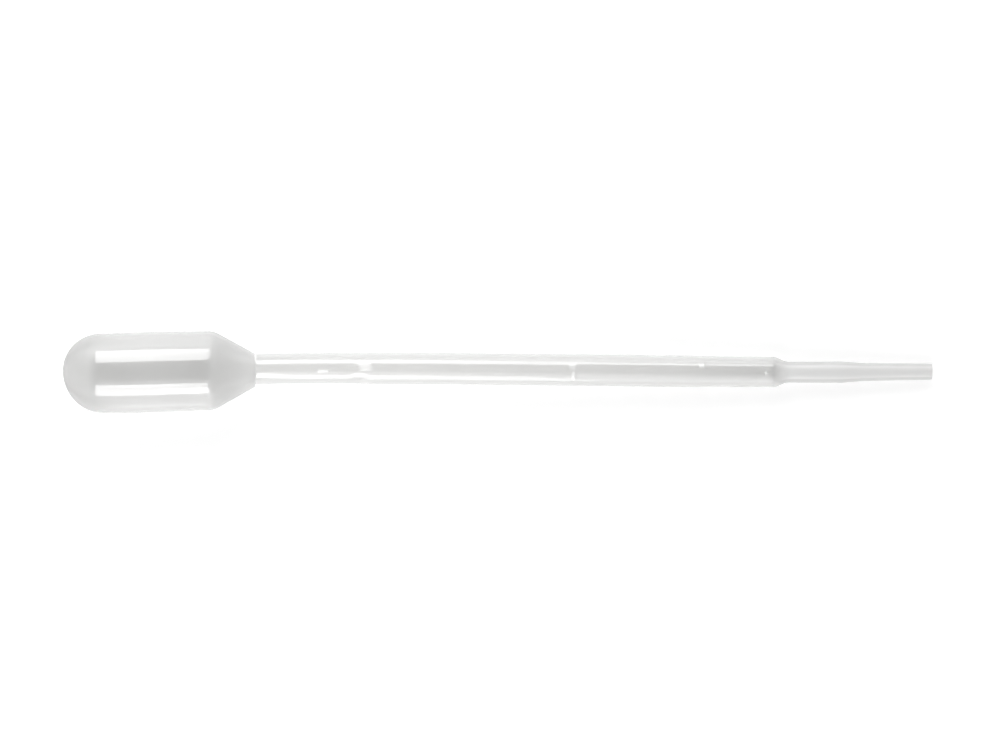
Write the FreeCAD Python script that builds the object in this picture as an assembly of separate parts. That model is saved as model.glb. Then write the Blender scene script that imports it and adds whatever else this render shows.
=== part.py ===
import FreeCAD, Part
import math
import os

# One-piece dropper pipette, blow-moulded in soft translucent polyethylene: a squeeze bulb,
# a graduated stem and a stepped tip, hollow throughout and open only at the mouth.
# Millimetres, degrees and millilitres. The body is round about one long axis, along which
# stations are measured from the crown of the bulb (0) to the mouth. It lies as it comes to
# rest on a table: on the front rim of the bulb and on the stem's shoulder, both of which are
# pressed a little flat there, as a soft wall is.

# ---- Lengths along the axis, in order from the crown to the mouth ----
CROWN_TO_WAIST = 14.0      # to the widest place of the bulb
WAIST_TO_RIM = 11.9        # to the corner where the neck cone starts
NECK_LENGTH = 7.1          # cone between bulb and stem
PLAIN_STEM_LENGTH = 16.6   # stem before the graduated length
SCALE_RAMP_LENGTH = 2.8    # rise on to the graduated length
SCALE_LENGTH = 54.4        # graduated length, a little thicker than the rest of the stem
SCALE_RUNOUT_LENGTH = 6.2  # fall from the graduated length
LOWER_STEM_LENGTH = 9.85   # stem before the shoulder
SHOULDER_LENGTH = 1.82     # cone between stem and tip
COLLAR_LENGTH = 9.73       # thicker first part of the tip
DRAW_LENGTH = 3.2          # where the collar is drawn down
EASE_LENGTH = 3.4          # gentler taper into the spout
SPOUT_LENGTH = 9.0         # slender end of the tip

# ---- Outside diameters ----
CROWN_DIAMETER = 13.32
WAIST_DIAMETER = 13.74
RIM_DIAMETER = 13.47
STEM_DIAMETER = 5.19
SCALE_DIAMETER = 5.38
COLLAR_START_DIAMETER = 3.53
COLLAR_END_DIAMETER = 3.62
DRAWN_DIAMETER = 3.13
SPOUT_DIAMETER = 2.93
MOUTH_DIAMETER = 2.74

# ---- Wall thickness, thinnest where the bulb is blown widest ----
CROWN_WALL = 0.60
BULB_WALL = 0.45
NECK_WALL = 0.47
SCALE_START_WALL = 0.50
SCALE_END_WALL = 0.79
LOWER_STEM_WALL = 0.645
TIP_WALL = 0.665
SPOUT_WALL = 0.615
MOUTH_WALL = 0.52

# ---- Roundings between neighbouring stretches ----
WAIST_ROUNDING = 240.0
RIM_ROUNDING = 3.5
NECK_ROUNDING = 2.0
SHOULDER_ROUNDING = 0.6
COLLAR_FOOT_ROUNDING = 3.0
DRAW_ROUNDING = 8.0
LEAST_ROUNDING = 0.3       # where a wall is thicker than its corner's rounding

# ---- Moulded details ----
SCALE_VOLUMES = (0.25, 0.5, 0.75, 1.0)  # contents from the mouth up to each graduation
MARK_WIDTH = 0.55
MARK_HEIGHT = 0.14
MARK_DRAFT = 0.12                       # how far a mark's sides lean, along the axis
MARK_START_ANGLE = -12.0                # from straight up, turning towards -Y
MARK_SWEEP = 92.0
SEAM_WIDTH = 0.22                       # parting line left by the two mould halves
SEAM_HEIGHT = 0.05

# ---- Rest ----
BEARING_GIVE = 0.03        # how far the wall is pressed flat where it bears on the table

FULL_ROUNDING = math.inf                # as large as the neighbouring runs allow
UNROUNDED = 0.0                         # turns so slight that they need no rounding
CUBIC_MM_PER_ML = 1000.0
CUTTER_OVERRUN = 1.0                    # how far the cavity's cutter passes the mouth
SAMPLES_PER_EDGE = 60                   # outline points used to find how the body rests
SMALLEST_GAP = 1e-6

STEM_START = CROWN_TO_WAIST + WAIST_TO_RIM + NECK_LENGTH
STEM_END = (STEM_START + PLAIN_STEM_LENGTH + SCALE_RAMP_LENGTH + SCALE_LENGTH
            + SCALE_RUNOUT_LENGTH + LOWER_STEM_LENGTH)
ORIGIN = FreeCAD.Vector(0, 0, 0)
LONG_AXIS = FreeCAD.Vector(1, 0, 0)
CROSS_AXIS = FreeCAD.Vector(0, 1, 0)


class Corner:
    """A corner of an outline in the XZ plane, before it is rounded."""

    def __init__(self, station, radius, rounding=UNROUNDED, wall=0.0):
        self.point = FreeCAD.Vector(station, 0, radius)
        self.rounding = rounding
        self.wall = wall


def outer_corners():
    """Outside of the pipette, from the crown on the axis to the edge of the mouth."""
    stretches = (
        # length up to the corner, diameter there, rounding, wall
        (0.0, 0.0, UNROUNDED, CROWN_WALL),
        (0.0, CROWN_DIAMETER, FULL_ROUNDING, BULB_WALL),
        (CROWN_TO_WAIST, WAIST_DIAMETER, WAIST_ROUNDING, BULB_WALL),
        (WAIST_TO_RIM, RIM_DIAMETER, RIM_ROUNDING, BULB_WALL),
        (NECK_LENGTH, STEM_DIAMETER, NECK_ROUNDING, NECK_WALL),
        (PLAIN_STEM_LENGTH, STEM_DIAMETER, UNROUNDED, NECK_WALL),
        (SCALE_RAMP_LENGTH, SCALE_DIAMETER, UNROUNDED, SCALE_START_WALL),
        (SCALE_LENGTH, SCALE_DIAMETER, UNROUNDED, SCALE_END_WALL),
        (SCALE_RUNOUT_LENGTH, STEM_DIAMETER, UNROUNDED, LOWER_STEM_WALL),
        (LOWER_STEM_LENGTH, STEM_DIAMETER, SHOULDER_ROUNDING, LOWER_STEM_WALL),
        (SHOULDER_LENGTH, COLLAR_START_DIAMETER, COLLAR_FOOT_ROUNDING, TIP_WALL),
        (COLLAR_LENGTH, COLLAR_END_DIAMETER, DRAW_ROUNDING, TIP_WALL),
        (DRAW_LENGTH, DRAWN_DIAMETER, DRAW_ROUNDING, SPOUT_WALL),
        (EASE_LENGTH, SPOUT_DIAMETER, UNROUNDED, SPOUT_WALL),
        (SPOUT_LENGTH, MOUTH_DIAMETER, UNROUNDED, MOUTH_WALL),
    )
    corners = []
    station = 0.0
    for length, diameter, rounding, wall in stretches:
        station += length
        corners.append(Corner(station, diameter / 2, rounding, wall))
    return corners


def inward_normal(start, end):
    """Unit vector square to a run of the outline, pointing to its axis side."""
    run = (end - start).normalize()
    return FreeCAD.Vector(run.z, 0, -run.x)


def shifted_corners(corners, shift_of):
    """Outline whose runs lie parallel to the given one, moved inwards by each corner's shift."""
    first, last = corners[0], corners[-1]
    shifted = [Corner(first.point.x + shift_of(first), 0.0)]
    for before, corner, after in zip(corners, corners[1:], corners[2:]):
        shift = shift_of(corner)
        normal_in = inward_normal(before.point, corner.point)
        normal_out = inward_normal(corner.point, after.point)
        mitre = (normal_in + normal_out) * (1 / (1 + normal_in.dot(normal_out)))
        point = corner.point + mitre * shift
        bulges = normal_in.cross(normal_out).y > 0
        rounding = corner.rounding
        if rounding != UNROUNDED:
            rounding = max(rounding - shift if bulges else rounding + shift, LEAST_ROUNDING)
        shifted.append(Corner(point.x, point.z, rounding))
    shifted.append(Corner(last.point.x, last.point.z - shift_of(last)))
    return shifted


def bore_corners(outer):
    """Outline of the cavity: the outside moved in by the wall, with its crown square on."""
    bore = shifted_corners(outer, lambda corner: corner.wall)
    bore[1].point.x = bore[0].point.x
    return bore


def rounded_edges(corners):
    """Straight runs through the corners, each corner rounded by an arc tangent to its runs."""
    edges = []
    at = corners[0].point
    for index in range(1, len(corners) - 1):
        corner = corners[index]
        back = corners[index - 1].point - corner.point
        on = corners[index + 1].point - corner.point
        half_turn = (math.pi - back.getAngle(on)) / 2
        room_back = back.Length if index == 1 else back.Length / 2
        reach = min(room_back, on.Length / 2, corner.rounding * math.tan(half_turn))
        back.normalize()
        on.normalize()
        arc_start = corner.point + back * reach
        arc_end = corner.point + on * reach
        if at.distanceToPoint(arc_start) > SMALLEST_GAP:
            edges.append(Part.LineSegment(at, arc_start).toShape())
        if reach > SMALLEST_GAP:
            middle = corner.point + (back + on).normalize() * (reach * math.tan(half_turn / 2))
            edges.append(Part.Arc(arc_start, middle, arc_end).toShape())
        at = arc_end
    edges.append(Part.LineSegment(at, corners[-1].point).toShape())
    return edges


def line(start, end):
    """Straight edge between two points."""
    return Part.LineSegment(start, end).toShape()


def turned(corners):
    """Solid turned about the long axis from an outline that starts on it."""
    crown, end = corners[0].point, corners[-1].point
    foot = FreeCAD.Vector(end.x, 0, 0)
    wire = Part.Wire(rounded_edges(corners) + [line(end, foot), line(foot, crown)])
    return Part.Face(wire).revolve(ORIGIN, LONG_AXIS, 360)


def cavity(bore):
    """The hollow, carried past the mouth so that it cuts clean through the end face."""
    mouth = bore[-1].point
    return turned(bore + [Corner(mouth.x + CUTTER_OVERRUN, mouth.z)])


def seam(outer):
    """Low fin all round the plane between the mould halves, up to the edge of the mouth."""
    raised = rounded_edges(shifted_corners(outer, lambda corner: -SEAM_HEIGHT))
    upper = Part.Wire(raised)
    lower = upper.mirror(ORIGIN, FreeCAD.Vector(0, 0, 1))
    end = raised[-1].Vertexes[-1].Point
    across_mouth = line(end, FreeCAD.Vector(end.x, 0, -end.z))
    sheet = Part.Face(Part.Wire(Part.sortEdges(upper.Edges + lower.Edges + [across_mouth])[0]))
    sheet.rotate(ORIGIN, LONG_AXIS, 90)
    sheet.translate(FreeCAD.Vector(0, 0, -SEAM_WIDTH / 2))
    return sheet.extrude(FreeCAD.Vector(0, 0, SEAM_WIDTH))


def outside_radius(outer, station):
    """Radius of the outside at a station of the stem, between the corners beside it."""
    for before, after in zip(outer, outer[1:]):
        if before.point.x <= station <= after.point.x and after.point.x > before.point.x:
            share = (station - before.point.x) / (after.point.x - before.point.x)
            return before.point.z + share * (after.point.z - before.point.z)
    raise ValueError("station is off the pipette")


def station_of_volume(bore, volume):
    """Station up to which the bore holds a volume, in cubic millimetres, from the mouth."""
    left = volume
    for near, far in zip(bore[:0:-1], bore[-2::-1]):
        length = near.point.x - far.point.x
        near_radius, far_radius = near.point.z, far.point.z
        held = math.pi * length * (near_radius**2 + near_radius * far_radius + far_radius**2) / 3
        if held < left:
            left -= held
            continue
        flare = (far_radius - near_radius) / length
        if abs(flare) < SMALLEST_GAP:
            return near.point.x - left / (math.pi * near_radius**2)
        radius = (near_radius**3 + 3 * flare * left / math.pi) ** (1 / 3)
        return near.point.x - (radius - near_radius) / flare
    return bore[0].point.x


def mark_stations(bore):
    """Stations of the graduations that fall on the stem."""
    stations = [station_of_volume(bore, volume * CUBIC_MM_PER_ML) for volume in SCALE_VOLUMES]
    return [s for s in stations if STEM_START + MARK_WIDTH < s < STEM_END - MARK_WIDTH]


def mark(outer, station):
    """Raised bar that runs part of the way round the stem."""
    foot = outside_radius(outer, station) - LOWER_STEM_WALL / 2
    top = outside_radius(outer, station) + MARK_HEIGHT
    half = MARK_WIDTH / 2
    section = Part.makePolygon([
        FreeCAD.Vector(station - half, 0, foot),
        FreeCAD.Vector(station - half + MARK_DRAFT, 0, top),
        FreeCAD.Vector(station + half - MARK_DRAFT, 0, top),
        FreeCAD.Vector(station + half, 0, foot),
        FreeCAD.Vector(station - half, 0, foot),
    ])
    bar = Part.Face(section).revolve(ORIGIN, LONG_AXIS, MARK_SWEEP)
    bar.rotate(ORIGIN, LONG_AXIS, MARK_START_ANGLE)
    return bar


def lower_hull(points):
    """Lower side of the convex hull of points in a plane, given as (along, up) pairs."""
    hull = []
    for along, up in sorted(points):
        while len(hull) > 1:
            (x1, z1), (x2, z2) = hull[-2], hull[-1]
            if (x2 - x1) * (up - z1) > (z2 - z1) * (along - x1):
                break
            hull.pop()
        hull.append((along, up))
    return hull


def lay_at_rest(body, outer):
    """Tilt the body on to the two places that carry it, centred over the origin."""
    points = [(point.x, -point.z) for edge in rounded_edges(outer)
              for point in edge.discretize(Number=SAMPLES_PER_EDGE)]
    hull = lower_hull(points)
    balance = body.CenterOfMass.x
    for (x1, z1), (x2, z2) in zip(hull, hull[1:]):
        if x1 <= balance <= x2:
            tilt = math.atan2(z2 - z1, x2 - x1)
            floor = z1 * math.cos(tilt) - x1 * math.sin(tilt)
    low_end = min(x * math.cos(tilt) - abs(z) * math.sin(abs(tilt)) for x, z in points)
    high_end = max(x * math.cos(tilt) + abs(z) * math.sin(abs(tilt)) for x, z in points)
    body.rotate(ORIGIN, CROSS_AXIS, math.degrees(tilt))
    body.translate(FreeCAD.Vector(-(low_end + high_end) / 2, 0, -floor))
    return body


def pressed_flat(body):
    """Flatten a body at rest where it bears on the table, and set it down on its flats."""
    box = body.BoundBox
    table = Part.makeBox(box.XLength, box.YLength, box.ZLength,
                         FreeCAD.Vector(box.XMin, box.YMin, BEARING_GIVE - box.ZLength))
    body = body.cut(table).Solids[0]
    body.translate(FreeCAD.Vector(0, 0, -BEARING_GIVE))
    return body


def pipette():
    """The whole pipette, at rest."""
    outer = outer_corners()
    bore = bore_corners(outer)
    details = [seam(outer)] + [mark(outer, station) for station in mark_stations(bore)]
    body = turned(outer).fuse(details).cut(cavity(bore)).Solids[0]
    return pressed_flat(lay_at_rest(body, outer))


os.makedirs("parts", exist_ok=True)
pipette().exportStep("parts/pipette_body.step")
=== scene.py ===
"""Plastic dropper pipette, dressed for rendering.

The pipette is one hollow moulding in soft translucent polyethylene: a squeeze bulb, a neck cone, a
graduated stem and a stepped tip that is open at the mouth. Its wall is one closed surface: an
outline that runs from the crown down the outside, over the lip of the mouth and back up the bore,
carried round the long axis. The mould's graduations, its parting line and the unevenness of a blown
wall are relief on that surface. The sizes of the pipette are in millimetres along its axis, and
the finished object is in metres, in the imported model's own frame.
"""

import logging
from dataclasses import dataclass, field
from enum import Enum

import bpy
import numpy as np
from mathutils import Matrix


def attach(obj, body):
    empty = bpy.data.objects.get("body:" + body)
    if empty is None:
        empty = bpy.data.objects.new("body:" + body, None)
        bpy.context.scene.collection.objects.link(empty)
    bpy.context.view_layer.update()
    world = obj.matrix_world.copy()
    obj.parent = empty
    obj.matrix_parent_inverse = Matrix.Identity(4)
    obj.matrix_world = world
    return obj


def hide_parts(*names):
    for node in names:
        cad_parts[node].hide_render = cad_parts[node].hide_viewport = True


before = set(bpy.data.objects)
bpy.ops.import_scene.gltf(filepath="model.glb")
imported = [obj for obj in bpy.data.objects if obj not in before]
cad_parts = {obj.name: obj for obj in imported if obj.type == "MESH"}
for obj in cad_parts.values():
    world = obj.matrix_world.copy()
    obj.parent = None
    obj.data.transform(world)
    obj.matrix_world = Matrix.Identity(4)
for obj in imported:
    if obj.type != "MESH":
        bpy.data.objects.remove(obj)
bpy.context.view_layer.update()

MM = 0.001
LOG = logging.getLogger("pipette")


class Side(Enum):
    """The two sides of the table on which a soft box stands, as signs of Y."""

    FAR = 1.0
    NEAR = -1.0


def smooth_step(value: np.ndarray) -> np.ndarray:
    """Rise from 0 to 1 over the unit range with level ends: 3 v squared less 2 v cubed.

    Args:
        value: Numbers, of which those outside 0 to 1 are clipped.

    Returns:
        The eased numbers, in an array of the same shape.
    """
    held = np.clip(value, 0.0, 1.0)
    return held * held * (3.0 - 2.0 * held)


def rounded_outline(corners: np.ndarray, rounding: np.ndarray, steps: int) -> np.ndarray:
    """Round every inner corner of an outline by an arc tangent to its two runs.

    An arc of radius r that turns through twice a meets its runs at r tan a from the corner, and
    its centre lies on the bisector at r / cos a. The reach along a run is held to half of it, or to
    the whole of the first one, which is the flat across the crown.

    Args:
        corners: Corner points as rows of station and radius.
        rounding: Radius of the arc at each corner, 0 for a plain one.
        steps: Points on each arc.

    Returns:
        Points of the rounded outline as rows of station and radius, in order.
    """
    at = corners[1:-1]
    back, on = corners[:-2] - at, corners[2:] - at
    back_length, on_length = np.linalg.norm(back, axis=1), np.linalg.norm(on, axis=1)
    back, on = back / back_length[:, None], on / on_length[:, None]
    half = np.arccos(np.clip(-(back * on).sum(axis=1), -1.0, 1.0)) / 2
    slope = np.tan(np.maximum(half, 1e-6))
    room = np.minimum(back_length * np.where(np.arange(len(at)) == 0, 1.0, 0.5), on_length * 0.5)
    reach = np.minimum(rounding[1:-1] * slope, room)
    radius = reach / slope
    bisector = (back + on) / np.maximum(np.linalg.norm(back + on, axis=1), 1e-12)[:, None]
    centre = at + bisector * (radius / np.cos(half))[:, None]
    spoke = at + back * reach[:, None] - centre
    sense = np.sign(-back[:, 0] * on[:, 1] + back[:, 1] * on[:, 0])
    angle = (sense * 2 * half)[:, None] * np.linspace(0.0, 1.0, steps)[None, :]
    cos, sin = np.cos(angle), np.sin(angle)
    along = centre[:, 0, None] + spoke[:, 0, None] * cos - spoke[:, 1, None] * sin
    out = centre[:, 1, None] + spoke[:, 0, None] * sin + spoke[:, 1, None] * cos
    arcs = np.stack([along, out], axis=2).reshape(-1, 2)
    return np.vstack([corners[:1], arcs, corners[-1:]])


def path_length(points: np.ndarray) -> np.ndarray:
    """Length along a path up to each of its points, from 0 at the first."""
    return np.concatenate([[0.0], np.cumsum(np.linalg.norm(np.diff(points, axis=0), axis=1))])


def lathe_mesh(name: str, rings: np.ndarray, first: np.ndarray, last: np.ndarray) -> bpy.types.Mesh:
    """Closed mesh through rings of points, with a pole at each end.

    Neighbouring rings are joined by four-sided faces and each pole to its ring by a fan.

    Args:
        name: Name of the mesh.
        rings: Points as an array of ring, place round the ring, and coordinate.
        first: The pole before the first ring.
        last: The pole after the last ring.

    Returns:
        The mesh, smooth-shaded, with its faces outward.
    """
    count, around = rings.shape[:2]
    points = np.vstack([rings.reshape(-1, 3), first[None], last[None]])
    ring = np.arange(count * around).reshape(count, around)
    turned = np.roll(ring, -1, axis=1)
    quads = np.stack([ring[:-1], turned[:-1], turned[1:], ring[1:]], axis=2).reshape(-1, 4)
    start = np.stack([turned[0], ring[0], np.full(around, count * around)], axis=1)
    end = np.stack([ring[-1], turned[-1], np.full(around, count * around + 1)], axis=1)
    mesh = bpy.data.meshes.new(name)
    mesh.from_pydata(points.tolist(), [], quads.tolist() + start.tolist() + end.tolist())
    mesh.polygons.foreach_set("use_smooth", np.ones(len(mesh.polygons), dtype=bool))
    mesh.update()
    return mesh


class Nodes:
    """Short hand for building a node tree."""

    def __init__(self, tree: bpy.types.NodeTree) -> None:
        """Empty the tree and keep it."""
        self.tree = tree
        tree.nodes.clear()

    def add(self, kind: str, settings: dict | None = None, **inputs: object) -> bpy.types.Node:
        """Add a node.

        Args:
            kind: Type name of the node.
            settings: Properties of the node itself.
            inputs: Values or sockets for the node's inputs, by name with spaces as underscores.

        Returns:
            The new node.
        """
        node = self.tree.nodes.new(kind)
        for key, value in (settings or {}).items():
            setattr(node, key, value)
        for key, value in inputs.items():
            self.put(node, key.replace("_", " "), value)
        return node

    def put(self, node: bpy.types.Node, key: str | int, value: object) -> None:
        """Set or link one input.

        Args:
            node: The node that has the input.
            key: Name of the input, or its number.
            value: A value, or a socket to link.
        """
        if isinstance(value, bpy.types.NodeSocket):
            self.tree.links.new(value, node.inputs[key])
        else:
            node.inputs[key].default_value = value

    def math(self, operation: str, first: object, second: object = 0.0) -> bpy.types.NodeSocket:
        """Work out one operation on two numbers or sockets.

        Args:
            operation: Blender's name for it.
            first: The first number or socket.
            second: The second one.

        Returns:
            The socket with the result.
        """
        node = self.add("ShaderNodeMath", {"operation": operation})
        self.put(node, 0, first)
        self.put(node, 1, second)
        return node.outputs[0]

    def remap(self, value: object, low: float, high: float, to_low: float,
              to_high: float) -> bpy.types.NodeSocket:
        """Carry a number from one range to another with eased ends.

        Args:
            value: The number or socket.
            low: Start of its range.
            high: End of its range.
            to_low: Result at the start.
            to_high: Result at the end.

        Returns:
            The socket with the result.
        """
        node = self.add("ShaderNodeMapRange", {"interpolation_type": "SMOOTHSTEP"})
        for key, number in enumerate((value, low, high, to_low, to_high)):
            self.put(node, key, number)
        return node.outputs[0]

    def profile(self, value: object, stops: tuple[tuple[float, ...], ...]) -> list[bpy.types.NodeSocket]:
        """Four numbers that run straight from stop to stop as one number rises.

        Args:
            value: The number or socket that rises.
            stops: Rows of its value and the four numbers there, each from 0 to 1.

        Returns:
            The sockets with the four numbers.
        """
        low, high = stops[0][0], stops[-1][0]
        ramp = self.add("ShaderNodeValToRGB")
        ramp.color_ramp.interpolation = "LINEAR"
        points = ramp.color_ramp.elements
        for place, *_ in stops[1:-1]:
            points.new((place - low) / (high - low))
        for point, (place, *levels) in zip(points, stops):
            point.position = (place - low) / (high - low)
            point.color = levels
        span = self.add("ShaderNodeMapRange")
        for key, number in enumerate((value, low, high, 0.0, 1.0)):
            self.put(span, key, number)
        self.put(ramp, 0, span.outputs[0])
        split = self.add("ShaderNodeSeparateColor", Color=ramp.outputs[0])
        return [*split.outputs, ramp.outputs["Alpha"]]

    def noise(self, vector: bpy.types.NodeSocket, scale: float, detail: float,
              rough: float = 0.5) -> bpy.types.NodeSocket:
        """Cloudy noise over a vector, as a number about one half."""
        node = self.add("ShaderNodeTexNoise", Vector=vector, Scale=scale, Detail=detail,
                        Roughness=rough)
        return node.outputs["Fac"]


@dataclass(frozen=True)
class PolyethyleneFinish:
    """Soft low-density polyethylene as it leaves the mould: milky, satin and faintly streaked, with
    painted shade in its colour.
    """

    colour: tuple[float, float, float] = (0.980, 0.980, 0.972)
    cloud_colour: tuple[float, float, float] = (0.955, 0.955, 0.947)
    refraction: float = 1.51
    gloss_roughness: float = 0.05
    gloss_refraction: float = 1.75
    # how finely the cloud and the grain are patterned; along X the cloud is drawn out fourfold
    cloud_scale: float = 160.0
    grain_scale: float = 2600.0
    drawn: tuple[float, float, float] = (0.25, 1.0, 1.0)
    # levels of the cloud between which the colour changes, and between which it dulls the plastic
    tinting: tuple[float, float] = (0.35, 0.70)
    dulling: tuple[float, float] = (0.30, 0.75)
    # the most that the cloud takes off the clearness, and adds to the roughness
    clouding: tuple[float, float] = (0.04, 0.03)
    # what a whitened place loses of its clearness and of its gloss
    whitening: tuple[float, float] = (0.82, 0.40)
    # share of the grain in the skin's relief, then that relief's strength and depth in metres
    grain_share: float = 0.15
    skin_strength: float = 0.10
    skin_depth: float = 0.00001
    # clearness on top of the dullest skin and of the glossiest, then the gloss at those two
    glossing: tuple[float, float, float, float] = (0.57, 0.72, 0.30, 1.0)
    # clearness of the roughest plastic and of the smoothest, then its roughness at those two
    smoothing: tuple[float, float, float, float] = (0.60, 0.86, 0.46, 0.30)
    # place along X in metres, then shade and clearness on top, and shade and clearness at the sides.
    # The shades are painted shade: lighter on the dome, darkest at the bulb's rim where it rests on
    # the table, lighter up the neck cone and darker along the stem towards the tip, with the sides
    # mostly darker than the top but lighter on the barrel of the bulb.
    along: tuple[tuple[float, float, float, float, float], ...] = (
        (-0.0750, 0.955, 0.58, 0.835, 0.46),
        (-0.0703, 0.955, 0.60, 0.825, 0.48),
        (-0.0684, 0.875, 0.72, 0.865, 0.50),
        (-0.0660, 0.880, 0.72, 0.910, 0.50),
        (-0.0600, 0.900, 0.72, 0.950, 0.50),
        (-0.0503, 0.850, 0.72, 0.940, 0.50),
        (-0.0489, 0.860, 0.56, 0.865, 0.46),
        (-0.0468, 0.885, 0.56, 0.830, 0.44),
        (-0.0423, 0.955, 0.44, 0.875, 0.35),
        (-0.0419, 1.000, 0.86, 0.930, 0.38),
        (-0.0150, 0.990, 0.86, 0.930, 0.38),
        (0.0300, 0.935, 0.86, 0.930, 0.47),
        (0.0470, 0.895, 0.84, 0.915, 0.47),
        (0.0490, 0.915, 0.26, 0.690, 0.21),
        (0.0750, 0.905, 0.26, 0.690, 0.21),
    )

    def material(self) -> bpy.types.Material:
        """Material whose cloud, gloss and grain change over the moulding, and whose colour carries
        painted shade along X and on the sides.

        Returns:
            The material, on Object coordinates throughout.
        """
        made = bpy.data.materials.new("polyethylene")
        made.use_nodes = True
        nodes = Nodes(made.node_tree)
        place = nodes.add("ShaderNodeTexCoord").outputs["Object"]
        split = nodes.add("ShaderNodeSeparateXYZ", Vector=place)
        # painted shade and clearness along X, on top and at the sides, from the table above
        painted_shade, clearness, side_painted_shade, side_clearness = nodes.profile(split.outputs["X"], self.along)
        side = nodes.add("ShaderNodeAttribute", {"attribute_name": "side"}).outputs["Fac"]
        # the sides take their own painted shade, darker or lighter than the top
        painted_shade = nodes.remap(side, 0.0, 1.0, painted_shade, side_painted_shade)
        gloss = nodes.remap(clearness, *self.glossing)
        clearness = nodes.remap(side, 0.0, 1.0, clearness, side_clearness)
        roughness = nodes.remap(clearness, *self.smoothing)
        drawn = nodes.add("ShaderNodeMapping", Vector=place, Scale=self.drawn).outputs[0]
        cloud = nodes.noise(drawn, self.cloud_scale, 2.0)
        grain = nodes.noise(place, self.grain_scale, 2.0)
        colour = nodes.add("ShaderNodeMix", {"data_type": "RGBA"})
        nodes.put(colour, 0, nodes.remap(cloud, *self.tinting, 0.0, 1.0))
        nodes.put(colour, 6, (*self.colour, 1.0))
        nodes.put(colour, 7, (*self.cloud_colour, 1.0))
        # the colour, darkened or lightened by the painted shade
        colour_with_painted_shade = nodes.add("ShaderNodeVectorMath", {"operation": "SCALE"})
        nodes.put(colour_with_painted_shade, 0, colour.outputs[2])
        nodes.put(colour_with_painted_shade, "Scale", painted_shade)
        # whiteness of the marks and patches, partly painted glint and painted reflection
        frost_and_painted_glint = nodes.add("ShaderNodeAttribute", {"attribute_name": "frost_and_painted_glint"}).outputs["Fac"]
        haze, matting = (nodes.remap(cloud, *self.dulling, 0.0, most) for most in self.clouding)
        white, unpolished = (nodes.math("MULTIPLY", frost_and_painted_glint, loss) for loss in self.whitening)
        clearness = nodes.math("SUBTRACT", nodes.math("SUBTRACT", clearness, haze), white)
        gloss = nodes.math("SUBTRACT", gloss, unpolished)
        roughness = nodes.math("ADD", roughness, matting)
        skin = nodes.math("ADD", cloud, nodes.math("MULTIPLY", grain, self.grain_share))
        bump = nodes.add("ShaderNodeBump", Strength=self.skin_strength, Distance=self.skin_depth,
                         Height=skin)
        shader = nodes.add("ShaderNodeBsdfPrincipled", IOR=self.refraction)
        nodes.put(shader, "Coat Weight", gloss)
        nodes.put(shader, "Coat Roughness", self.gloss_roughness)
        nodes.put(shader, "Coat IOR", self.gloss_refraction)
        nodes.put(shader, "Base Color", colour_with_painted_shade.outputs[0])
        nodes.put(shader, "Roughness", roughness)
        nodes.put(shader, "Transmission Weight", clearness)
        nodes.put(shader, "Normal", bump.outputs[0])
        nodes.add("ShaderNodeOutputMaterial", Surface=shader.outputs[0])
        return made


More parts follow.
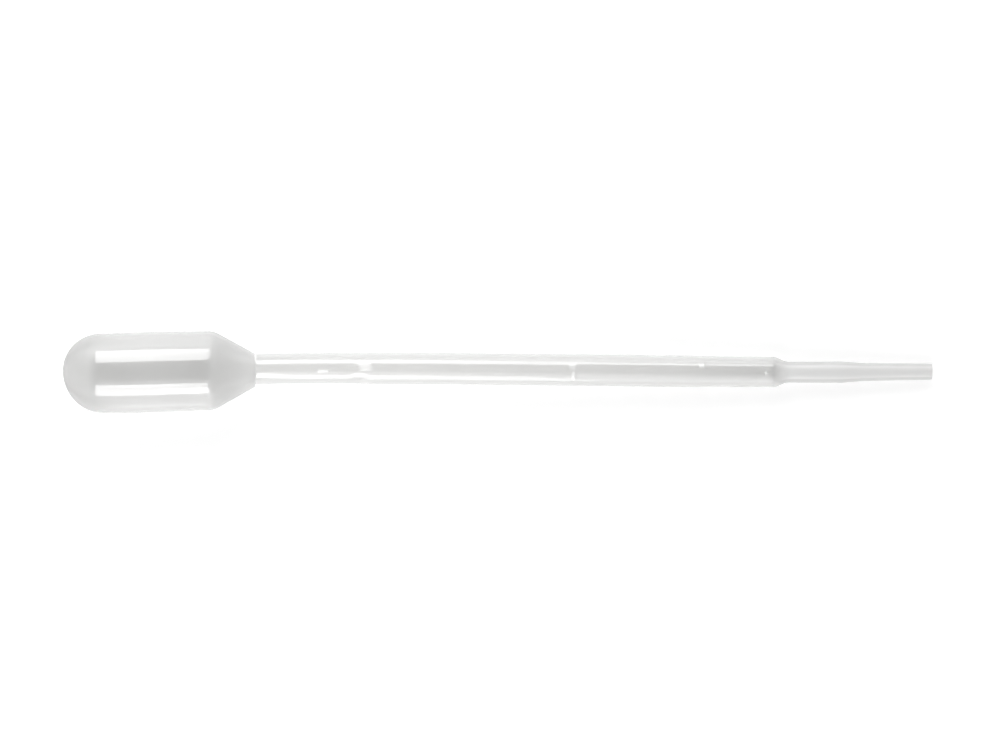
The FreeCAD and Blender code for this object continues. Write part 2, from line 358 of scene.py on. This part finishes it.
@dataclass
class Pipette:
    """The whole pipette: one hollow moulding, lying at rest.

    Lengths are in millimetres along the axis from the crown, angles in degrees.
    """

    # length up to the corner, diameter there, rounding, wall
    stretches: tuple[tuple[float, float, float, float], ...] = (
        (0.0, 0.0, 0.0, 0.60),
        (0.0, 13.32, np.inf, 0.45),
        (14.0, 13.74, 240.0, 0.45),
        (11.9, 13.47, 3.5, 0.45),
        (7.1, 5.62, 0.1, 0.55),
        (0.1, 5.19, 0.1, 0.47),
        (16.5, 5.19, 60.0, 0.47),
        (2.8, 5.34, 60.0, 0.50),
        (54.4, 5.42, 60.0, 0.79),
        (6.2, 5.19, 60.0, 0.645),
        (9.85, 5.19, 0.6, 0.645),
        (1.82, 3.53, 3.0, 0.665),
        (9.73, 3.62, 8.0, 0.665),
        (3.2, 3.13, 8.0, 0.615),
        (3.4, 2.93, 40.0, 0.615),
        (9.0, 2.74, 0.0, 0.52),
    )
    # rows of that table, from 0, that end at the barrel's rim and at the foot of the neck cone
    rim_row: int = 3
    neck_row: int = 4
    # rounding of the two edges of the mouth
    lip: float = 0.08
    # station, width, slope at its sides, height, where it starts and ends round the stem, whiteness,
    # which is partly a painted glint of the light that the raised mark catches
    marks: tuple[tuple[float, float, float, float, float, float, float], ...] = (
        (52.0, 2.80, 0.80, 0.05, 64.0, 100.0, 1.0),
        (52.0, 2.40, 0.50, 0.01, 106.0, 170.0, 0.15),
        (69.49, 0.70, 0.30, 0.012, 70.0, 150.0, 0.12),
        (87.9, 0.80, 0.30, 0.04, 92.0, 136.0, 0.9),
        (87.7, 1.60, 0.60, 0.04, 66.0, 94.0, 0.5),
        (110.0, 0.95, 0.20, 0.12, 59.0, 80.0, 1.0),
    )
    # whitened patches and raised nibs, in the same columns: a whitened streak along the near side of
    # the bulb that is a painted reflection, a whitened ring round the foot of the neck, and two raised
    # nibs on the stem whose whiteness is partly a painted glint
    nibs_and_painted_glints: tuple[tuple[float, float, float, float, float, float, float], ...] = (
        (16.3, 17.4, 0.16, 0.0, 142.0, 152.0, 0.22),
        (33.08, 0.50, 0.22, 0.0, -10.0, 370.0, 0.5),
        (44.75, 2.0, 0.30, 0.08, 92.0, 106.0, 1.0),
        (121.1, 0.50, 0.20, 0.16, 88.0, 99.0, 1.0),
    )
    # degrees over which a mark rises at either of its ends
    mark_ease: float = 5.0
    seam_width: float = 0.26
    seam_height: float = 0.045
    # height of the long waves of the wall, of which the short ones have half
    wave_height: float = 0.002
    # sideways set of the soft body at some stations, towards +Y, and the length that eases it
    bend_stations: tuple[float, ...] = (
        0.0, 2.0, 7.0, 15.0, 24.0, 33.0, 34.6, 45.0, 64.0, 78.0, 93.0, 104.0, 118.0, 130.0, 150.0)
    bend_offsets: tuple[float, ...] = (
        0.12, -0.06, -0.26, -0.05, 0.20, 0.27, 0.29, 0.38, 0.30, 0.15, 0.0, -0.13, -0.27, -0.32, -0.23)
    bend_easing: float = 3.0
    # sideways step of the stem from the cone, and the lengths it takes outside and in the bore
    neck_step: float = 0.28
    neck_easing: tuple[float, float] = (0.1, 4.0)
    # how far the wall gives where it bears on the table, and the station of its centre of mass
    give: float = 0.03
    balance: float = 61.0
    # rings along the wall and points on each, points on each arc and on either half of the lip
    ring_count: int = 700
    ring_points: int = 128
    arc_steps: int = 24
    lip_steps: int = 7
    # even places from which the rings are chosen
    fine_steps: int = 12000
    # how closely the rings lie in the bore, at marks, at the lip, at the rim and at the neck, and
    # how far the last four of these reach from the end of a mark or from the place itself
    closeness: tuple[float, float, float, float, float] = (0.42, 4.0, 9.0, 1.7, 5.0)
    reaches: tuple[float, float, float, float] = (0.12, 0.25, 2.2, 0.5)
    # size of the cosine from +Y at which the wall starts to count as its side, and counts in full,
    # for the painted shade of the sides
    sideways: tuple[float, float] = (0.5, 0.85)
    # share by which the points of a ring crowd together at the quarter turns
    crowding: float = 0.15
    finish: PolyethyleneFinish = field(default_factory=PolyethyleneFinish)

    def corners(self) -> np.ndarray:
        """Corners of the outside as rows of station, radius, rounding and wall."""
        table = np.array(self.stretches)
        return np.column_stack([np.cumsum(table[:, 0]), table[:, 1] / 2, table[:, 2], table[:, 3]])

    def outside(self) -> np.ndarray:
        """Rounded outline of the outside, from the crown to the mouth."""
        corners = self.corners()
        return rounded_outline(corners[:, :2], corners[:, 2], self.arc_steps)

    def bore(self) -> np.ndarray:
        """Rounded outline of the hollow, from the crown to the mouth.

        Each corner moves in along the bisector of its runs by the wall there, so that the runs
        stay parallel, and its rounding shrinks or grows by the same wall.

        Returns:
            Points as rows of station and radius.
        """
        corners = self.corners()
        point, rounding, wall = corners[:, :2], corners[:, 2], corners[:, 3]
        run = np.diff(point, axis=0)
        run /= np.linalg.norm(run, axis=1)[:, None]
        normal = np.column_stack([run[:, 1], -run[:, 0]])
        before, after = normal[:-1], normal[1:]
        mitre = (before + after) / (1 + (before * after).sum(axis=1))[:, None]
        inner = point.copy()
        inner[1:-1] += mitre * wall[1:-1, None]
        inner[0, 0] += wall[0]
        inner[1, 0] = inner[0, 0]
        inner[-1, 1] -= wall[-1]
        turn = before[:, 0] * after[:, 1] - before[:, 1] * after[:, 0]
        eased = rounding.copy()
        eased[1:-1] = np.maximum(rounding[1:-1] + np.sign(turn) * wall[1:-1], 0.3)
        eased[1:-1][rounding[1:-1] == 0] = 0.0
        return rounded_outline(inner, eased, self.arc_steps)

    def outline(self) -> tuple[np.ndarray, np.ndarray, np.ndarray]:
        """Whole outline of the wall, sampled closely where there is detail.

        It runs from the crown down the outside, over the rounded lip and back up the bore. The
        samples follow a density along it, so that they crowd together at the graduations, at the
        lip and at tight bends.

        Returns:
            Points as rows of station and radius, the unit normals that point out of the wall, and
            for each point 1 on the outside and 0 in the bore.
        """
        out, back = self.outside(), self.bore()[::-1]
        turn = np.linspace(0.0, np.pi / 2, self.lip_steps)[:, None]
        edge, inner = out[-1], back[0]
        early, late = self.lip * (1 - np.sin(turn)), self.lip * (1 - np.cos(turn))
        over = np.hstack([edge[0] - early, edge[1] - late])
        down = np.hstack([inner[0] - late, inner[1] + early])
        out = out[:-1][out[:-1, 0] < edge[0] - self.lip]
        back = back[1:][back[1:, 0] < inner[0] - self.lip]
        path = np.vstack([out, over, down, back])
        keep = np.concatenate([[True], np.linalg.norm(np.diff(path, axis=0), axis=1) > 1e-6])
        path = path[keep]
        length = path_length(path)
        outer_length = path_length(np.vstack([out, over]))[-1]
        fine = np.linspace(0.0, length[-1], self.fine_steps)
        station = np.interp(fine, length, path[:, 0])
        outside = fine < outer_length
        rim, neck = self.corners()[[self.rim_row, self.neck_row + 1], 0]
        in_bore, at_marks, at_lip, at_rim, at_neck = self.closeness
        past_marks, off_lip, off_rim, off_neck = self.reaches
        density = np.where(outside, 1.0, in_bore)
        for place, width, _, lift, *_ in self.marks + self.nibs_and_painted_glints:
            near = (np.abs(station - place) < width / 2 + past_marks) & (lift > 0)
            density = np.where(near & outside, at_marks, density)
        density = np.where(station > edge[0] - off_lip, at_lip, density)
        density = np.where(np.abs(station - rim) < off_rim, density * at_rim, density)
        density = np.where((np.abs(station - neck) < off_neck) & outside, at_neck, density)
        share = np.concatenate([[0.0], np.cumsum((density[1:] + density[:-1]) / 2)])
        wanted = np.interp(np.linspace(0.0, share[-1], self.ring_count + 2), share, fine)
        points = np.column_stack([np.interp(wanted, length, path[:, axis]) for axis in (0, 1)])
        run = np.gradient(points, axis=0)
        run /= np.linalg.norm(run, axis=1)[:, None]
        normals = np.column_stack([-run[:, 1], run[:, 0]])
        return points, normals, (wanted < outer_length).astype(float)

    def angles(self) -> np.ndarray:
        """Places round a ring, from +Y over +Z, closer together at the parting line and on top.

        The angle is t less a crowding share of sin 4t for an even t, so the spacing falls to two
        fifths of the mean at every quarter turn.

        Returns:
            Angles in radians.
        """
        even = np.arange(self.ring_points) * 2 * np.pi / self.ring_points
        return even - self.crowding * np.sin(4 * even)

    def graduations(self, station: np.ndarray, angle: np.ndarray) -> tuple[np.ndarray, np.ndarray]:
        """Raised bars of the graduations and of the nibs, and the whitened patches, with sloping sides
        and ends.

        Args:
            station: Stations as a column.
            angle: Angles as a row.

        Returns:
            Heights in millimetres, and whiteness from 0 to 1, which is partly painted glint and painted
            reflection.
        """
        degrees = np.degrees(angle)
        height = np.zeros(np.broadcast_shapes(station.shape, angle.shape))
        white = height.copy()
        for place, width, slope, lift, start, stop, frost_and_painted_glint in self.marks + self.nibs_and_painted_glints:
            across = smooth_step((width / 2 - np.abs(station - place)) / slope)
            risen, fallen = (degrees - start) / self.mark_ease, (stop - degrees) / self.mark_ease
            bar = across * smooth_step(risen) * smooth_step(fallen)
            height = np.maximum(height, lift * bar)
            white = np.maximum(white, frost_and_painted_glint * bar)
        return height, white

    def relief(self, station: np.ndarray, radius: np.ndarray, angle: np.ndarray) -> np.ndarray:
        """Height of the parting line and of the waves on the outside.

        The parting line is a low rounded ridge where Z is 0 on either side. The barrel also has
        shallow waves, from a wall that cooled unevenly: each is a sine along it times a sine round
        it whose crest winds slowly, and they fade where the body is slender.

        Args:
            station: Stations as a column.
            radius: Radii as a column.
            angle: Angles as a row.

        Returns:
            Heights above the plain outside, in millimetres.
        """
        off_seam = radius * np.abs(np.sin(angle))
        ridge = self.seam_height * smooth_step(1.0 - off_seam / (self.seam_width / 2))
        long = np.sin(0.55 * station + 1.3) * np.sin(2 * angle + 0.11 * station)
        short = np.sin(1.31 * station + 0.4) * np.cos(3 * angle - 0.2 * station)
        waves = self.wave_height * (long + short / 2)
        return ridge + waves * smooth_step(radius / 2.0 - 2.0)

    def unevenness(self, station: np.ndarray, angle: np.ndarray) -> np.ndarray:
        """Waves of the bore's wall: products of one sine along it and one round it.

        Args:
            station: Stations as a column.
            angle: Angles as a row.

        Returns:
            Heights in millimetres.
        """
        long = np.sin(0.31 * station + 0.9 + np.cos(angle)) * np.cos(angle + 0.05 * station)
        short = np.sin(0.83 * station + 2 * np.sin(angle + 0.6)) * np.cos(2 * angle + 1.1)
        return self.wave_height * (long + short / 2)

    def bend(self, station: np.ndarray) -> np.ndarray:
        """Sideways set of the soft body at each station.

        The offsets between the named stations are straight lines, of which the first goes on
        beyond the crown, averaged over a sliding window with raised-cosine weights.

        Args:
            station: Stations of any shape.

        Returns:
            Offsets towards +Y, in millimetres.
        """
        per_mm, spare = 10, 20
        length = int(self.bend_stations[-1])
        grid = np.linspace(-spare, length + spare, (length + 2 * spare) * per_mm + 1)
        knots = np.interp(grid, self.bend_stations, self.bend_offsets)
        slope = (self.bend_offsets[1] - self.bend_offsets[0]) / self.bend_stations[1]
        knots = np.where(grid < 0, self.bend_offsets[0] + slope * grid, knots)
        window = np.hanning(int(self.bend_easing * 2 * per_mm) + 1)
        eased = np.convolve(knots, window / window.sum(), mode="same")
        return np.interp(station, grid, eased)

    def ledge(self, station: np.ndarray, outside: np.ndarray) -> np.ndarray:
        """Sideways set of the stem from the cone, sharp on the outside and eased in the bore.

        Args:
            station: Stations of any shape.
            outside: 1 on the outside and 0 in the bore, in a shape that fits.

        Returns:
            Offsets towards +Y, in millimetres.
        """
        past_neck = station - self.corners()[self.neck_row, 0]
        short, long = self.neck_easing
        sharp, eased = smooth_step(past_neck / short), smooth_step(past_neck / long + 0.5)
        return self.neck_step * (outside * sharp + (1 - outside) * eased)

    def rest_tilt(self) -> float:
        """Tilt at which the pipette lies on two places of its outline, either side of its balance.

        Of all lines through one lower point behind the balance and one before it, the table is
        the one that passes lowest under the balance.

        Returns:
            The tilt in radians, positive with the tip down.
        """
        line = self.outside()
        behind, before = line[line[:, 0] < self.balance], line[line[:, 0] > self.balance]
        gap = before[None, :, 0] - behind[:, None, 0]
        fall = -before[None, :, 1] + behind[:, None, 1]
        under = -behind[:, None, 1] + fall * (self.balance - behind[:, None, 0]) / gap
        lowest = np.unravel_index(np.argmin(under), under.shape)
        return float(np.arctan2(fall[lowest], gap[lowest]))

    def placed(self, points: np.ndarray) -> np.ndarray:
        """Carry points from the axis frame to the table.

        They are turned about Y by the rest tilt, moved so that the outline is centred in the CAD
        box and would reach into the table by the wall's give, and pressed flat on the table.

        Args:
            points: Points in millimetres, X along the axis.

        Returns:
            Points in metres in the row frame.
        """
        tilt = self.rest_tilt()
        cos, sin = np.cos(tilt), np.sin(tilt)
        line = self.outside()
        floor = (-line[:, 1] * cos - line[:, 0] * sin).min()
        low = (line[:, 0] * cos - line[:, 1] * abs(sin)).min()
        high = (line[:, 0] * cos + line[:, 1] * abs(sin)).max()
        x, y, z = points[..., 0], points[..., 1], points[..., 2]
        up = np.maximum(z * cos - x * sin - floor - self.give, 0.0)
        return np.stack([x * cos + z * sin - (low + high) / 2, y, up], axis=-1) * MM

    def mesh(self) -> bpy.types.Mesh:
        """The wall as one closed surface carried round the axis.

        A point is the outline's station and radius, moved along the outline's normal by the
        relief or the bore's waves, turned to its angle, and shifted sideways by the bend. The
        relief ends just before the lip, and the bore's waves fade towards both ends. Each point
        also keeps how whitened it is, which is partly a painted glint, and how far it faces
        sideways, which sets where the finish paints the shade of the sides.

        Returns:
            The finished mesh, in place.
        """
        line, normal, outside = self.outline()
        station, radius = line[1:-1, 0, None], line[1:-1, 1, None]
        angle = self.angles()[None, :]
        mask = outside[1:-1, None]
        bars, white = self.graduations(station, angle)
        to_mouth = self.corners()[-1, 0] - station
        off_lip = smooth_step((to_mouth - 0.15) / 0.3)
        off_ends = smooth_step((to_mouth - 0.4) / 3.0) * smooth_step(radius / 1.5)
        raised = off_lip * (bars + self.relief(station, radius, angle))
        lift = mask * raised + (1 - mask) * off_ends * self.unevenness(station, angle)
        out = radius + normal[1:-1, 1, None] * lift
        along = station + normal[1:-1, 0, None] * lift
        aside = self.bend(along) + self.ledge(station, mask)
        rings = np.stack([along, out * np.cos(angle) + aside, out * np.sin(angle)], axis=2)
        poles = np.array([[s, self.bend(s), 0.0] for s in (line[0, 0], line[-1, 0])])
        mesh = lathe_mesh("pipette_wall", self.placed(rings), *self.placed(poles))
        # how far each point faces sideways, where the finish paints the shade of the sides
        first, full = self.sideways
        facing = smooth_step((np.abs(np.cos(angle)) - first) / (full - first))
        side = np.broadcast_to(facing, white.shape)
        for name, values in (("frost_and_painted_glint", mask * white), ("side", side)):
            layer = mesh.attributes.new(name, "FLOAT", "POINT")
            layer.data.foreach_set("value", np.append(values.ravel(), [0.0, 0.0]))
        return mesh

    def build(self) -> bpy.types.Object:
        """Make the pipette, dress it and let it stand for the CAD body.

        Returns:
            The finished object.
        """
        made = bpy.data.objects.new("pipette_wall", self.mesh())
        bpy.context.scene.collection.objects.link(made)
        made.data.materials.append(self.finish.material())
        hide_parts("pipette_body")
        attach(made, "root")
        LOG.info("pipette wall: %d faces", len(made.data.polygons))
        return made


@dataclass(frozen=True)
class PaperFinish:
    """Plain matt white paper, a little lifted where it is seen, so that it reads as white."""

    colour: tuple[float, float, float] = (0.80, 0.80, 0.80)
    # how fine the fibres are, and the strength and depth in metres of their relief
    fibre_scale: float = 900.0
    fibre_strength: float = 0.05
    fibre_depth: float = 0.0001
    # white added where the table is seen directly
    lift: float = 0.39
    # even white of the table as it shows in the gloss and through the plastic
    in_gloss: float = 0.99
    through_plastic: float = 1.28

    def material(self) -> bpy.types.Material:
        """Matt white that keeps shadows where it is seen, and is even white in gloss and plastic.

        Returns:
            The material.
        """
        made = bpy.data.materials.new("white_paper")
        made.use_nodes = True
        nodes = Nodes(made.node_tree)
        place = nodes.add("ShaderNodeTexCoord").outputs["Object"]
        fibre = nodes.noise(place, self.fibre_scale, 3.0)
        path = nodes.add("ShaderNodeLightPath").outputs
        in_pipette = nodes.math("MAXIMUM", path["Is Glossy Ray"], path["Is Transmission Ray"])
        glow = nodes.remap(path["Is Transmission Ray"], 0.0, 1.0, self.in_gloss, self.through_plastic)
        lift = nodes.math("MULTIPLY", path["Is Camera Ray"], self.lift)
        matt = nodes.add("ShaderNodeBsdfDiffuse", Color=(*self.colour, 1.0))
        bump = nodes.add("ShaderNodeBump", Strength=self.fibre_strength, Distance=self.fibre_depth,
                         Height=fibre)
        nodes.put(matt, "Normal", bump.outputs[0])
        lifted = nodes.add("ShaderNodeEmission", Color=(1.0, 1.0, 1.0, 1.0), Strength=lift)
        seen = nodes.add("ShaderNodeAddShader")
        nodes.put(seen, 0, matt.outputs[0])
        nodes.put(seen, 1, lifted.outputs[0])
        even = nodes.add("ShaderNodeEmission", Color=(1.0, 1.0, 1.0, 1.0), Strength=glow)
        paper = nodes.add("ShaderNodeMixShader")
        nodes.put(paper, 0, in_pipette)
        nodes.put(paper, 1, seen.outputs[0])
        nodes.put(paper, 2, even.outputs[0])
        nodes.add("ShaderNodeOutputMaterial", Surface=paper.outputs[0])
        return made


@dataclass(frozen=True)
class SoftBox:
    """A flat lamp beside the pipette, along X.

    Lengths are in metres, and angles in degrees from straight up.
    """

    name: str
    side: Side
    start: float
    end: float
    upper: float
    lower: float
    radiance: float
    distance: float = 0.50

    def build(self) -> bpy.types.Object:
        """Make the lamp and turn it to the pipette.

        Returns:
            The lamp.
        """
        lean = np.radians((self.upper + self.lower) / 2)
        width = 2 * self.distance * np.tan(np.radians(self.lower - self.upper) / 2)
        lamp = bpy.data.lights.new(self.name, "AREA")
        lamp.shape = "RECTANGLE"
        lamp.size = self.end - self.start
        lamp.size_y = float(width)
        lamp.energy = float(self.radiance * np.pi * lamp.size * width)
        made = bpy.data.objects.new(self.name, lamp)
        made.location = ((self.start + self.end) / 2, self.side.value * self.distance * np.sin(lean),
                         self.distance * np.cos(lean))
        made.rotation_euler = (-self.side.value * lean, 0.0, 0.0)
        made.visible_camera = False
        made.visible_transmission = False
        bpy.context.scene.collection.objects.link(made)
        LOG.info("soft box %s", self.name)
        return made


@dataclass(frozen=True)
class Room:
    """White room round the table, as levels of light by direction."""

    far_wall: float = 2.15
    near_wall: float = 1.57
    bulb_end: float = 0.85
    tip_end: float = 0.75
    ceiling: float = 0.2
    # one level for all that shows through the plastic
    through_plastic: float = 0.8
    # parts of a direction's X, Y, size of Y, and Z over which one level turns into the next
    end_to_end: tuple[float, float] = (-0.6, 0.6)
    side_to_side: tuple[float, float] = (-0.1, 0.1)
    end_to_side: tuple[float, float] = (0.3, 0.85)
    wall_to_ceiling: tuple[float, float] = (0.25, 0.75)

    def build(self) -> None:
        """Light from the room: walls that are brightest at the sides and fall off to a dim ceiling.

        Through the plastic the room is one even level, as the milky wall blurs what lies beyond.
        """
        world = bpy.data.worlds.new("room")
        world.use_nodes = True
        nodes = Nodes(world.node_tree)
        direction = nodes.add("ShaderNodeTexCoord").outputs["Generated"]
        way = nodes.add("ShaderNodeSeparateXYZ", Vector=direction).outputs
        ends = nodes.remap(way["X"], *self.end_to_end, self.bulb_end, self.tip_end)
        sides = nodes.remap(way["Y"], *self.side_to_side, self.near_wall, self.far_wall)
        walls = nodes.remap(nodes.math("ABSOLUTE", way["Y"]), *self.end_to_side, ends, sides)
        seen = nodes.remap(way["Z"], *self.wall_to_ceiling, walls, self.ceiling)
        through = nodes.add("ShaderNodeLightPath").outputs["Is Transmission Ray"]
        light = nodes.remap(through, 0.0, 1.0, seen, self.through_plastic)
        back = nodes.add("ShaderNodeBackground", Color=(1.0, 1.0, 1.0, 1.0), Strength=light)
        nodes.add("ShaderNodeOutputWorld", Surface=back.outputs[0])
        bpy.context.scene.world = world
        LOG.info("room")


@dataclass
class Studio:
    """Table, soft boxes, room and camera. Lengths in metres, angles in degrees."""

    table_radius: float = 4.0
    table_sides: int = 96
    boxes: tuple[SoftBox, ...] = (
        SoftBox("far_key", Side.FAR, -0.205, -0.020, 31.5, 68.0, 4.2),
        SoftBox("near_key", Side.NEAR, -0.225, -0.015, 35.0, 69.0, 4.2),
        SoftBox("near_low", Side.NEAR, -0.225, 0.106, 24.0, 44.0, 0.9),
        SoftBox("far_side", Side.FAR, -0.020, 0.058, 38.0, 64.0, 3.2),
        SoftBox("far_fill", Side.FAR, -0.020, 0.108, 58.0, 84.0, 0.8),
        SoftBox("near_side", Side.NEAR, -0.026, 0.040, 50.0, 89.0, 3.2),
        SoftBox("far_strip", Side.FAR, 0.058, 0.108, 45.0, 58.5, 3.5),
        SoftBox("near_fill", Side.NEAR, 0.040, 0.106, 42.0, 88.0, 1.50),
    )
    room: Room = field(default_factory=Room)
    # camera's height, its lens and sensor in millimetres, and where on the table it looks
    camera_height: float = 1.2008
    camera_lens: float = 249.6
    camera_sensor: float = 36.0
    aim: tuple[float, float] = (0.00023, -0.00052)
    paper: PaperFinish = field(default_factory=PaperFinish)

    def table(self) -> bpy.types.Object:
        """Round sheet of white paper on which the pipette lies.

        Returns:
            The table.
        """
        angle = np.linspace(0.0, 2 * np.pi, self.table_sides + 1)[:-1]
        rim = np.column_stack([np.cos(angle), np.sin(angle), np.zeros(len(angle))]) * self.table_radius
        mesh = bpy.data.meshes.new("table")
        mesh.from_pydata(rim.tolist(), [], [list(range(len(angle)))])
        made = bpy.data.objects.new("table", mesh)
        bpy.context.scene.collection.objects.link(made)
        mesh.materials.append(self.paper.material())
        LOG.info("table")
        return made

    def camera(self) -> bpy.types.Object:
        """Camera straight above the pipette, with the tip to its right.

        Returns:
            The camera, made the scene's own.
        """
        lens = bpy.data.cameras.new("camera")
        lens.lens = self.camera_lens
        lens.sensor_width = self.camera_sensor
        lens.clip_start = 0.01
        lens.clip_end = 20.0
        made = bpy.data.objects.new("camera", lens)
        made.location = (*self.aim, self.camera_height)
        bpy.context.scene.collection.objects.link(made)
        bpy.context.scene.camera = made
        return made

    def build(self) -> None:
        """Set the table, the lamps, the room and the camera."""
        self.table()
        for box in self.boxes:
            box.build()
        self.room.build()
        self.camera()
        bpy.context.scene.view_settings.view_transform = "Standard"


def main() -> None:
    """Build the pipette, then the studio round it."""
    logging.basicConfig(level=logging.INFO, format="%(name)s: %(message)s")
    Pipette().build()
    Studio().build()


if __name__ == "__main__":
    main()
